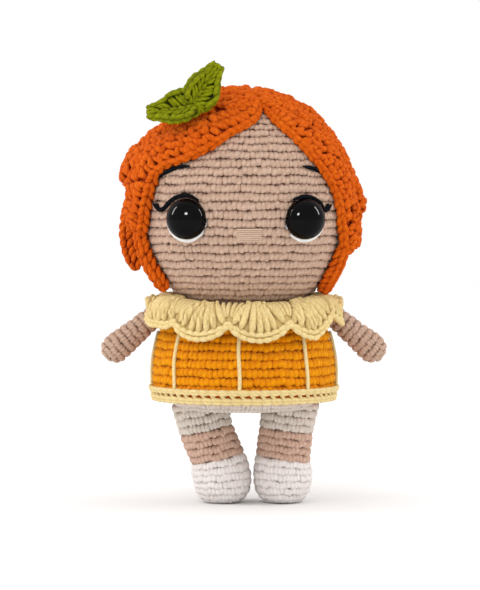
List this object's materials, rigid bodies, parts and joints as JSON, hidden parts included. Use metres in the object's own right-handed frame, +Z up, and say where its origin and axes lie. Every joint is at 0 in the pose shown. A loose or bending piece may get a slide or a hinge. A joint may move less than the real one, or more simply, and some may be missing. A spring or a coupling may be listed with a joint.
{
  "type": "crocheted doll",
  "caption": "Standing crocheted doll with a large head, orange hair, two green leaves and a barrel-shaped dress with a scalloped collar.",
  "frame": {"origin": "middle of the doll's box, on the surface that its soles rest on", "axes": "+Z up from the soles to the leaves, -Y the way the face looks, +X towards the doll's own left hand"},
  "size_m": [0.1224, 0.0956, 0.1889],
  "materials": {
    "skin_yarn": "matte crochet",
    "orange_yarn": "matte crochet",
    "dress_yarn": "matte crochet",
    "cream_yarn": "matte crochet",
    "white_yarn": "matte crochet",
    "green_yarn": "matte crochet",
    "black_yarn": "matte yarn",
    "black_plastic": "polished",
    "white_felt": "felt",
    "wadding": "loose fibre",
    "washer_plastic": "moulded",
    "insole_plastic": "cut sheet"
  },
  "bodies": {
    "trunk": {"trunk_cover": "white_yarn", "trunk_stuffing": "wadding", "neck_seam": "skin_yarn", "dress": "dress_yarn", "dress_hem": "cream_yarn", "dress_segment_line_1": "cream_yarn", "dress_segment_line_2": "cream_yarn", "dress_segment_line_3": "cream_yarn", "dress_segment_line_4": "cream_yarn", "dress_segment_line_5": "cream_yarn", "dress_segment_line_6": "cream_yarn", "dress_segment_line_7": "cream_yarn", "dress_segment_line_8": "cream_yarn", "collar": "cream_yarn", "left_shoulder_seam": "skin_yarn", "right_shoulder_seam": "skin_yarn", "left_shoe": "white_yarn", "left_leg": "skin_yarn", "left_trouser_leg": "white_yarn", "left_insole": "insole_plastic", "left_leg_stuffing": "wadding", "right_shoe": "white_yarn", "right_leg": "skin_yarn", "right_trouser_leg": "white_yarn", "right_insole": "insole_plastic", "right_leg_stuffing": "wadding"},
    "head": {"head_cover": "skin_yarn", "head_stuffing": "wadding", "nose_stitches": "skin_yarn", "left_eye": "black_plastic", "left_eye_white": "white_felt", "left_eye_washer": "washer_plastic", "left_lash": "black_yarn", "left_brow": "black_yarn", "right_eye": "black_plastic", "right_eye_white": "white_felt", "right_eye_washer": "washer_plastic", "right_lash": "black_yarn", "right_brow": "black_yarn", "hair_cap": "orange_yarn", "right_fringe": "orange_yarn", "right_temple_lock": "orange_yarn", "right_side_lock": "orange_yarn", "right_back_lock": "orange_yarn", "right_nape_lock": "orange_yarn", "left_nape_lock": "orange_yarn", "left_back_lock": "orange_yarn", "left_side_lock": "orange_yarn", "left_temple_lock": "orange_yarn", "left_fringe": "orange_yarn", "right_curl": "orange_yarn", "right_face_strand": "orange_yarn", "left_face_strand": "orange_yarn", "leaf_stitches": "green_yarn"},
    "left_arm": {"left_arm": "skin_yarn", "left_arm_stuffing": "wadding"},
    "right_arm": {"right_arm": "skin_yarn", "right_arm_stuffing": "wadding"},
    "left_leaf": {"left_leaf": "green_yarn"},
    "right_leaf": {"right_leaf": "green_yarn"}
  },
  "joints": [
    {"name": "head_turn", "type": "hinge", "parent": "trunk", "child": "head", "pos_m": [0, -0.0037, 0.12794], "axis": [0, 0, 1], "range_deg": [-25, 25], "stiffness_Nm_per_rad": 0.05},
    {"name": "left_arm_swing", "type": "hinge", "parent": "trunk", "child": "left_arm", "pos_m": [0.03897, -0.0037, 0.0801], "axis": [0, -1, 0], "range_deg": [-10, 40], "stiffness_Nm_per_rad": 0.01},
    {"name": "right_arm_swing", "type": "hinge", "parent": "trunk", "child": "right_arm", "pos_m": [-0.03897, -0.0037, 0.0801], "axis": [0, 1, 0], "range_deg": [-10, 40], "stiffness_Nm_per_rad": 0.01},
    {"name": "left_leaf_bend", "type": "hinge", "parent": "head", "child": "left_leaf", "pos_m": [-0.0181, -0.03574, 0.17035], "axis": [0.9465, 0.1299, -0.2954], "range_deg": [-20, 40], "stiffness_Nm_per_rad": 0.001},
    {"name": "right_leaf_bend", "type": "hinge", "parent": "head", "child": "right_leaf", "pos_m": [-0.02048, -0.03555, 0.16845], "axis": [0.0656, 0.4844, 0.8724], "range_deg": [-15, 40], "stiffness_Nm_per_rad": 0.001}
  ]
}
